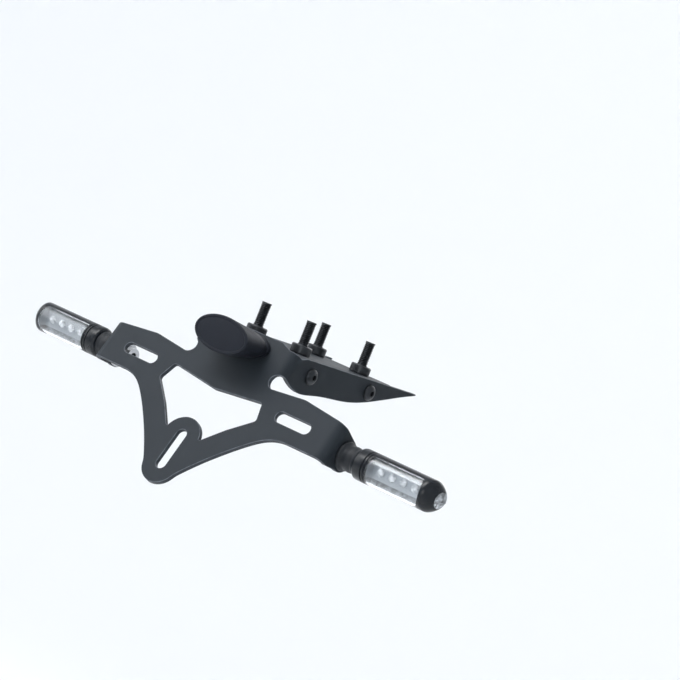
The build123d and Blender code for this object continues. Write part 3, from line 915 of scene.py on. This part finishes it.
def buildHousing(side, label):
    s = barrelSettings
    angles, profile = barrelAngles(), collarProfile()
    start, steps = s["lensFrom"], s["lensRings"]
    rings = [[barrelPoint(side, x, radius, a) for a in angles] for x, radius in profile]
    for i in range(steps + 1):
        rings.append([barrelPoint(side, start + (lensEnd(a) - start) * i / steps, s["radius"], a) for a in angles])
    for i in range(s["noseRings"] + 1):
        rings.append([nosePoint(side, a, tipEdge(a) * i / s["noseRings"]) for a in angles])
    low, high = s["lensAngles"]
    lensRows = range(len(profile), len(profile) + steps)
    inLens = [low <= a < high - 0.01 for a in angles]
    bm = bmesh.new()
    loftRings(bm, rings, capLast=False, keep=lambda i, j: not (i in lensRows and inLens[j]))
    node = label + "_indicator_housing"
    piece = addPiece(label + "Housing", bm, "satinBarrelPlastic", node, crisp=36)
    mouldedWall(piece, s["wall"], s["softRim"])


lensSettings = {
    "grid": (40, 54), "thick": 1.3, "gap": 0.12, "gapAngle": 0.6, "ease": 0.12,
    "lensTopShade": (7, 3), "edgeAngle": 40,  # painted shade: columns from the top, and how many of them it fades over; edges sharper than edgeAngle degrees get it too
}


def buildLens(side, label):
    s, radius, start = lensSettings, barrelSettings["radius"], barrelSettings["lensFrom"]
    low, high = barrelSettings["lensAngles"][0] + s["gapAngle"], barrelSettings["lensAngles"][1] - s["gapAngle"]
    rows, count = s["grid"]
    spread = [low + (high - low) * j / count for j in range(count + 1)]
    outer, inner = [], []
    for i in range(rows + 1):
        ease = s["ease"] * (1 - min(1.0, min(i, rows - i) / 2))
        ends = [start + s["gap"] + (lensEnd(a) - start - 2 * s["gap"]) * i / rows for a in spread]
        outer.append([barrelPoint(side, x, radius - ease, a) for x, a in zip(ends, spread)])
        inner.append([barrelPoint(side, x, radius - s["thick"], a) for x, a in zip(ends, spread)])
    bm = bmesh.new()
    closedPatch(bm, outer, inner)
    lensTopShade = bm.verts.layers.float.new("wearAndLightMask")  # painted shade along the lens's top, under the housing's edge, and on its sharp edges
    columns, fade = s["lensTopShade"]
    for vert, j in zip(bm.verts, list(range(count + 1)) * (2 * rows + 2)):
        vert[lensTopShade] = max(0.0, min(1.0, (j - count + columns) / fade))
    for edge in bm.edges:
        if edge.calc_face_angle(0.0) > math.radians(s["edgeAngle"]):
            for vert in edge.verts:
                vert[lensTopShade] = 1.0
    addPiece(label + "Lens", bm, "clearLensPlastic", label + "_indicator_lens", crisp=40)


tipSettings = {
    "sides": 24, "inset": 1.4, "rings": (0.02, 0.30, 0.58, 0.84, 0.97), "rimDent": 0.05, "dents": (0.10, 0.55),
}


def buildTip(side, label):  # rings towards the apex, with every other point dented into facets
    s = tipSettings
    inward = Vector((-side * mm, 0, 0))
    around = [360.0 / s["sides"] * j for j in range(s["sides"])]
    rings = [[nosePoint(side, a, tipEdge(a)) + inward * s["inset"] for a in around]]
    for i, share in enumerate(s["rings"]):
        bends = [tipEdge(a) + (math.pi / 2 - tipEdge(a)) * share for a in around]
        dents = [s["rimDent"] if i == 0 else s["dents"][(i + j) % 2] for j in range(s["sides"])]
        rings.append([nosePoint(side, a, bend) + inward * dent for a, bend, dent in zip(around, bends, dents)])
    bm = bmesh.new()
    loftRings(bm, rings)
    addPiece(label + "TipLens", bm, "facetedTipPlastic", label + "_indicator_tip_lens", crisp=8)


ledSettings = {
    "count": 4, "pitch": 7.8, "middle": 126.2, "up": 0.6,
    "pad": [(-0.7, 2.3), (-0.2, 2.3), (-0.05, 2.1)],  # height over the tray, half of the diagonal
    "domeFrom": -0.1, "domeRadius": 2.5, "domeHeight": 1.1, "domeSides": 7, "domeTurn": 0.3,
    "domeRings": 4, "domeSteps": 3.3,
}
ledMiddle = (ledSettings["count"] - 1) / 2
ledSpots = [ledSettings["middle"] + (i - ledMiddle) * ledSettings["pitch"] for i in range(ledSettings["count"])]
traySettings = {
    "span": (-7.2, 6.5), "depth": 2.9, "thick": 2.3, "shadedBand": -3.9, "bandStep": 0.8, "dish": (3.3, 0.5),
    "lip": 0.9, "ends": (0.3, 0.5), "grid": (132, 56),
}


def buildReflector(side, label):
    s, radius = traySettings, barrelSettings["radius"]
    low, high = s["span"]
    rows, count = s["grid"]
    dishRadius, dishDepth = s["dish"]
    reach = radius - barrelSettings["wall"]
    columns = [low + (high - low) * j / count for j in range(count + 1)]
    start = barrelSettings["lensFrom"] + s["ends"][0]
    front, back = [], []
    for i in range(rows + 1):
        frontRow, backRow = [], []
        for across in columns:
            end = lensEnd(math.degrees(math.asin(across / radius))) - s["ends"][1]
            x = start + (end - start) * i / rows
            near = min(math.hypot(x - spot, across - ledSettings["up"]) for spot in ledSpots)
            dish = dishDepth * max(0.0, 1 - (near / dishRadius) ** 2) ** 2
            lip = max(0.0, 1 - min(x - start, end - x) / s["lip"])  # the ends of the tray rise to the lens
            depth = s["depth"] - dish - (s["bandStep"] if across < s["shadedBand"] else 0.0)
            rise = lip * (math.sqrt(reach ** 2 - across ** 2) - depth)
            frontRow.append(trayPoint(side, x, across, depth + rise))
            backRow.append(trayPoint(side, x, across, s["depth"] - s["thick"]))
        front.append(frontRow)
        back.append(backRow)
    bm = bmesh.new()
    closedPatch(bm, front, back)
    shadedBand = bm.verts.layers.float.new("wearAndLightMask")  # painted shade on the tray's lower band, which is also stepped down
    for vert, across in zip(bm.verts, columns * (2 * rows + 2)):
        vert[shadedBand] = 1.0 if across < s["shadedBand"] else 0.0
    addPiece(label + "Reflector", bm, "silveredReflector", label + "_indicator_reflector", crisp=40)


def ledRing(side, spot, points, lift):  # points round one LED, at a height over the tray
    return [trayPoint(side, spot + dx, ledSettings["up"] + dz, traySettings["depth"] + lift) for dx, dz in points]


def buildLeds(side, label):  # square pads with faceted domes on them
    s = ledSettings
    angles = fullCircle(s["domeSides"], s["domeTurn"])
    bm = bmesh.new()
    for spot in ledSpots:
        loftRings(bm, [ledRing(side, spot, arcPoints(0, 0, half, 45, 315, 3), lift) for lift, half in s["pad"]])
        rings = []
        for i in range(s["domeRings"]):
            t = math.radians(90) * i / s["domeSteps"]
            r = s["domeRadius"] * math.cos(t)
            points = [(r * math.cos(a), r * math.sin(a)) for a in angles]
            rings.append(ledRing(side, spot, points, s["domeFrom"] + s["domeHeight"] * math.sin(t)))
        loftRings(bm, rings)
    addPiece(label + "Leds", bm, "facetedLedOptic", label + "_indicator_leds", crisp=15)


stalkSettings = {
    "flangeOut": 87.0, "steps": 72,
    "outside": [(0.0, 7.9), (0.4, 8.3), (1.2, 8.4), (1.8, 8.2), (2.2, 7.6), (2.6, 7.1), (3.2, 6.9), (4.0, 7.0),
                (5.0, 7.25), (6.2, 7.35), (7.4, 7.25), (8.2, 7.0), (8.8, 6.8), (9.3, 6.9), (9.8, 7.2)],
    "outerEnd": [(0.3, 7.3), (0.0, 7.1)],  # before the barrel, and radius
    "stud": (74.0, 94.0, 5.0, 2.5), "studPitch": 1.25, "studSteps": 56,
    "washer": (82.8, 84.0, 9.0, 5.2), "nut": (77.8, 82.8, 7.0, 4.7),
}


def buildStalk(side, label):
    s = stalkSettings
    place = aroundAxis((0, axisSpot.y, axisSpot.z), (side, 0, 0))
    flange, stalkEnd = s["flangeOut"], barrelSettings["stalkEnd"]
    studStart, studEnd, studRadius, bore = s["stud"]
    profile = [(flange + past, r) for past, r in s["outside"]] + [(stalkEnd - before, r) for before, r in s["outerEnd"]]
    profile += [(stalkEnd, bore), (studEnd, bore), (studEnd, studRadius), (flange, studRadius)]
    stalk, stud, washer, nut = bmesh.new(), bmesh.new(), bmesh.new(), bmesh.new()
    turn(stalk, place, profile, steps=s["steps"], closeLoop=True)
    addThread(stud, place, studStart, studEnd, studRadius, s["studPitch"], steps=s["studSteps"], bore=bore)
    addWasher(washer, place, *s["washer"])
    addNut(nut, place, *s["nut"])
    addPiece(label + "Stalk", stalk, "softStalkRubber", label + "_indicator_stalk", crisp=45)
    addPiece(label + "Stud", stud, "zincPlatedSteel", label + "_indicator_stud")
    addPiece(label + "Washer", washer, "zincPlatedSteel", label + "_indicator_washer")
    addPiece(label + "Nut", nut, "zincPlatedSteel", label + "_indicator_nut")


for side, label in ((1, "right"), (-1, "left")):
    for build in (buildHousing, buildLens, buildTip, buildReflector, buildLeds, buildStalk):
        build(side, label)
    dressNode(label + "_indicator_board", "darkSolderMask")
print("indicators made")


# Stage: a wide pale floor that curves up all round, soft lights and the camera
stageSettings = {
    "floor": -0.75, "flat": (0.02, 1.0, 2.6), "curve": 1.6, "curveSteps": 16, "rise": 3.0, "sides": 96,
    "shade": (0.92, 0.93, 0.94), "rough": 0.85,
}


def buildStage():
    s = stageSettings
    edge, curve = s["flat"][-1], s["curve"]
    profile = [(r, 0.0) for r in s["flat"]]
    for i in range(1, s["curveSteps"] + 1):
        t = math.radians(90) * i / s["curveSteps"]
        profile.append((edge + curve * math.sin(t), curve * (1 - math.cos(t))))
    profile.append((edge + curve, s["rise"] + curve))
    angles = fullCircle(s["sides"])
    bm = bmesh.new()
    rings = [[Vector((r * math.cos(a), r * math.sin(a), s["floor"] + z)) for a in angles] for r, z in profile]
    loftRings(bm, rings, capLast=False)
    material, tree, shader = newFinish("palePaper")
    feedAll(tree, shader, {"Base Color": (*s["shade"], 1.0), "Roughness": s["rough"]})
    floor = linkMesh("paleFloor", bm, material)


lightSettings = {
    "world": (0.94, 0.97, 1.0), "worldStrength": 0.85, "aim": (0, -0.05, -0.04),
    "boxes": {  # place, width and power
        "overhead": ((-0.5, -1.0, 1.5), 1.3, 46.0),
        "rear": ((0.92, -1.68, 0.06), 0.5, 7.0),
        "left": ((-1.6, -0.9, 0.7), 1.6, 22.0),
        "front": ((-0.4, 1.7, 0.9), 1.2, 10.0),
    },
}


def buildLights():
    s = lightSettings
    world = bpy.data.worlds.new("paleStudio")
    world.use_nodes = True
    back = world.node_tree.nodes["Background"]
    feedAll(world.node_tree, back, {"Color": (*s["world"], 1.0), "Strength": s["worldStrength"]})
    bpy.context.scene.world = world
    for name, (at, width, power) in s["boxes"].items():
        data = bpy.data.lights.new(name + "Softbox", "AREA")
        data.energy, data.size = power, width
        light = newObject(name + "Softbox", data)
        light.location = at
        light.rotation_euler = (Vector(s["aim"]) - Vector(at)).to_track_quat("-Z", "Y").to_euler()


cameraSettings = {
    "place": (0.8380, -1.1426, 0.0585), "look": (-0.583, 0.8120, -0.0347), "right": (0.746, 0.5517, 0.3724),
    "focalPixels": 2500.0, "framePixels": 680.0, "sensor": 36.0, "clip": (0.01, 50.0),
}


def buildCamera():
    c = cameraSettings
    data = bpy.data.cameras.new("photoCamera")
    data.sensor_width = c["sensor"]
    data.lens = c["sensor"] * c["focalPixels"] / c["framePixels"]
    data.clip_start, data.clip_end = c["clip"]
    camera = newObject("photoCamera", data)
    back = -Vector(c["look"]).normalized()
    right = (Vector(c["right"]) - Vector(c["right"]).dot(back) * back).normalized()
    up = back.cross(right)
    camera.matrix_world = Matrix((right, up, back)).transposed().to_4x4()
    camera.location = c["place"]
    bpy.context.scene.camera = camera


buildStage()
buildLights()
buildCamera()
bpy.context.scene.view_settings.view_transform = "Standard"
print("stage, lights and camera set")
